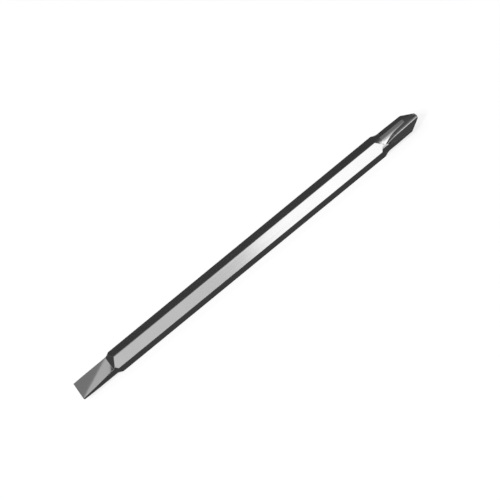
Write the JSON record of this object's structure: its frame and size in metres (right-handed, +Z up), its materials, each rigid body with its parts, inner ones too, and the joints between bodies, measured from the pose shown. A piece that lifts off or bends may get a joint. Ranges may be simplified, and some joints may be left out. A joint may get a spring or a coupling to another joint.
{
  "type": "reversible screwdriver blade",
  "caption": "Double-ended hexagonal screwdriver blade with a flat slotted tip on one end and a fluted cross tip on the other, pushed either way round into a hexagonal socket.",
  "frame": {"origin": "on the lower flat of the hexagonal bar, under the middle of the blade's length", "axes": "+X along the blade from the slotted tip to the cross tip, +Z up, away from the flat it rests on, Y across"},
  "size_m": [0.12, 0.0068, 0.006],
  "materials": {
    "tool_steel": "bright drawn hexagonal bar, smooth and satin, with turned necks and milled tips"
  },
  "bodies": {
    "root": {"reversible_blade": "tool_steel"}
  },
  "joints": []
}
